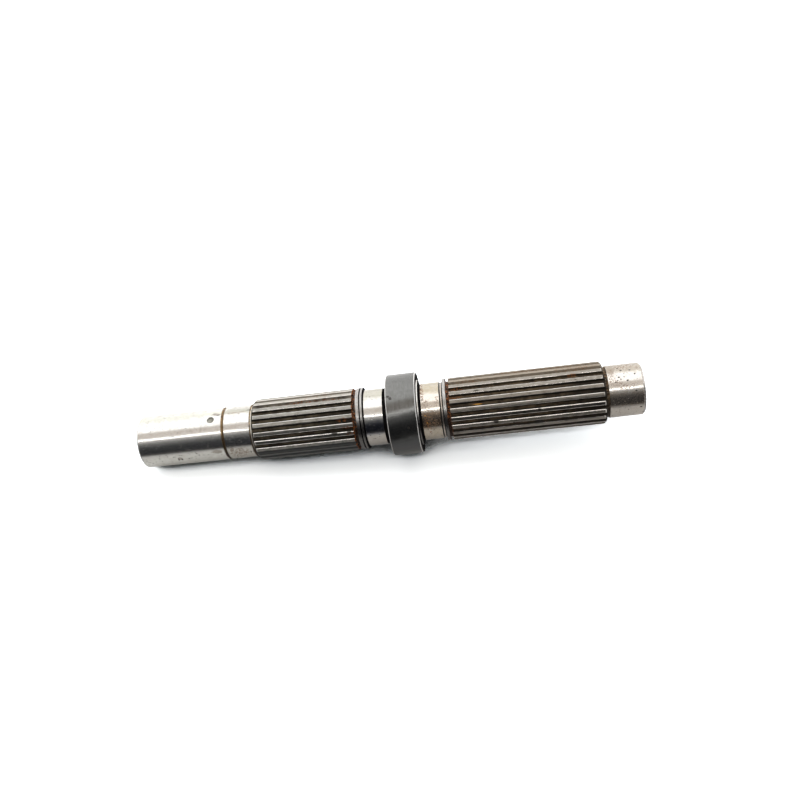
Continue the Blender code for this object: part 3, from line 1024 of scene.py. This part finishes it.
# What the card shows, as (angle up in the picture from the camera's side, colour).
CARD_COLOURS = [
    (-76, (0.012, 0.013, 0.016)),
    (-40, (0.013, 0.015, 0.019)),
    (-28, (0.030, 0.033, 0.038)),
    (-18, (0.100, 0.102, 0.105)),
    (-8, (0.240, 0.240, 0.240)),
    (1, (0.50, 0.49, 0.48)),
    (4, (0.80, 0.80, 0.79)),
    (11, (0.90, 0.87, 0.84)),
    (14, (0.76, 0.70, 0.65)),
    (35, (0.76, 0.70, 0.64)),
    (39, (1.20, 1.15, 1.10)),
]


def toward(picture_angle):
    """Direction at an angle about the axis from the camera's side, up in the picture."""
    return Vector((-math.sin(picture_angle), -math.cos(picture_angle), 0.0))


def floor_material():
    """White floor that is seen from its front only, so it never hides the shaft from behind.

    The camera sees it exposed to white, with the shaft's own shadow and a contact shadow painted from
    ambient occlusion where the shaft touches it. The steel mirrors it bright beyond the shaft and darker
    in front of it, and it lights the shaft as plain grey paint.
    """
    material, graph = new_material("pale_floor")
    split = graph.add("ShaderNodeSeparateXYZ")
    graph.set(split.inputs[0], graph.add("ShaderNodeTexCoord").outputs["Object"])
    beyond = split.outputs[1]
    mirrored = graph.ramp(beyond, -FLOOR_CHANGE, FLOOR_CHANGE, NEAR_FLOOR, FAR_FLOOR)
    lit = graph.ramp(beyond, *FLOOR_DARKENS, DARK_FLOOR_SHARE, 1.0)
    mirrored = graph.math("MULTIPLY", mirrored, lit)
    contact = graph.add("ShaderNodeAmbientOcclusion", samples=16)
    contact.inputs["Distance"].default_value = CONTACT_REACH
    open_share = graph.ramp(contact.outputs["AO"], *CONTACT_FADE, CONTACT_SHADE, 1.0)
    seen = graph.mix(open_share, (0.0, 0.0, 0.0, 1.0), FLOOR_TO_CAMERA)
    path = graph.add("ShaderNodeLightPath")
    shade = graph.mix(path.outputs["Is Glossy Ray"], FLOOR_COLOUR, mirrored)
    shade = graph.mix(path.outputs["Is Camera Ray"], shade, seen)
    painted = graph.add("ShaderNodeBsdfDiffuse")
    graph.set(painted.inputs[0], shade)
    clear = graph.add("ShaderNodeBsdfTransparent")
    behind = graph.add("ShaderNodeNewGeometry").outputs["Backfacing"]
    output = graph.add("ShaderNodeOutputMaterial")
    graph.set(output.inputs[0], graph.mix_shader(behind, painted.outputs[0], clear.outputs[0]))
    return material


def floor():
    """The plane that touches the rim of the left end and the left rim of the collar."""
    rim_station = PLACES["collar"][0] + COLLAR_CHAMFER
    rim_radius = COLLAR_DIAMETER / 2
    tilt = math.atan2(rim_radius - END_DIAMETER / 2, rim_station - END_CHAMFER)
    down = Vector((math.cos(FLOOR_ANGLE), math.sin(FLOOR_ANGLE), 0.0))
    up_the_shaft = Vector((0.0, 0.0, 1.0))
    normal = up_the_shaft * math.sin(tilt) - down * math.cos(tilt)
    along = up_the_shaft * math.cos(tilt) + down * math.sin(tilt)
    touching = down * rim_radius + up_the_shaft * rim_station
    body = bmesh.new()
    bmesh.ops.create_grid(body, x_segments=1, y_segments=1, size=FLOOR_SIZE / 2)
    mesh = bpy.data.meshes.new("floor")
    body.to_mesh(mesh)
    body.free()
    plane = bpy.data.objects.new("floor", mesh)
    bpy.context.scene.collection.objects.link(plane)
    axes = Matrix((along, normal.cross(along), normal)).transposed()
    plane.matrix_world = Matrix.Translation(touching) @ axes.to_4x4()
    mesh.materials.append(floor_material())


def card_material():
    """Glows with the card's colours, graded round the shaft."""
    material, graph = new_material("graded_card")
    split = graph.add("ShaderNodeSeparateXYZ")
    graph.set(split.inputs[0], graph.add("ShaderNodeTexCoord").outputs["Object"])
    across, deep, _ = split.outputs
    left = graph.math("MULTIPLY", across, -1.0)
    near = graph.math("MULTIPLY", deep, -1.0)
    angle = graph.math("ARCTAN2", left, near)
    low, high = CARD_COLOURS[0][0], CARD_COLOURS[-1][0]
    share = graph.math("DIVIDE", graph.math("SUBTRACT", angle, low * DEG), (high - low) * DEG)
    ramp = graph.add("ShaderNodeValToRGB")
    stops = ramp.color_ramp.elements
    while len(stops) < len(CARD_COLOURS):
        stops.new(0.5)
    for stop, (degrees, colour) in zip(stops, CARD_COLOURS):
        stop.position = (degrees - low) / (high - low)
        stop.color = (*colour, 1.0)
    graph.set(ramp.inputs[0], share)
    glow = graph.add("ShaderNodeEmission")
    graph.set(glow.inputs[0], ramp.outputs[0])
    output = graph.add("ShaderNodeOutputMaterial")
    graph.set(output.inputs[0], glow.outputs[0])
    return material


def card():
    """An upright curved card that the steel mirrors and the camera does not see."""
    low, high = CARD_COLOURS[0][0] * DEG, CARD_COLOURS[-1][0] * DEG
    body = bmesh.new()
    columns = []
    for edge in range(CARD_STRIPS + 1):
        place = toward(low + (high - low) * edge / CARD_STRIPS) * CARD_DISTANCE
        columns.append([body.verts.new((place.x, place.y, end * CARD_HEIGHT / 2)) for end in (-1, 1)])
    for left, right in zip(columns, columns[1:]):
        body.faces.new((left[0], right[0], right[1], left[1]))
    mesh = bpy.data.meshes.new("graded_card")
    body.to_mesh(mesh)
    body.free()
    made = bpy.data.objects.new("graded_card", mesh)
    bpy.context.scene.collection.objects.link(made)
    made.visible_camera = False
    mesh.materials.append(card_material())


def lamp(name, picture_angle, width, height, radiance):
    """A large soft lamp beside the shaft, which shines with an even radiance."""
    light = bpy.data.lights.new(name, "AREA")
    light.shape = "RECTANGLE"
    light.size = width
    light.size_y = height
    light.energy = radiance * math.pi * width * height
    made = bpy.data.objects.new(name, light)
    bpy.context.scene.collection.objects.link(made)
    made.location = toward(picture_angle) * LAMP_DISTANCE + Vector((0.0, 0.0, SHAFT_LENGTH / 2))
    made.rotation_euler = (-toward(picture_angle)).to_track_quat("-Z", "Y").to_euler()
    made.visible_camera = False


def world():
    """Even pale light from all round."""
    made = bpy.data.worlds.new("studio")
    bpy.context.scene.world = made
    made.use_nodes = True
    graph = Graph(made.node_tree)
    background = graph.add("ShaderNodeBackground")
    background.inputs[0].default_value = (1.0, 1.0, 1.0, 1.0)
    background.inputs[1].default_value = WORLD_STRENGTH
    output = graph.add("ShaderNodeOutputWorld")
    graph.set(output.inputs[0], background.outputs[0])


def camera():
    """The photograph's camera."""
    data = bpy.data.cameras.new("camera")
    data.sensor_width = CAMERA_SENSOR
    data.lens = CAMERA_LENS
    made = bpy.data.objects.new("camera", data)
    bpy.context.scene.collection.objects.link(made)
    made.location = CAMERA_PLACE
    made.rotation_euler = CAMERA_TURN
    bpy.context.scene.camera = made


def studio():
    """The floor of the photograph, a card that the steel mirrors, soft lamps and a pale world."""
    floor()
    card()
    for settings in LAMPS:
        lamp(*settings)
    world()
    camera()
    bpy.context.scene.view_settings.view_transform = "Standard"


fine_shaft()
studio()
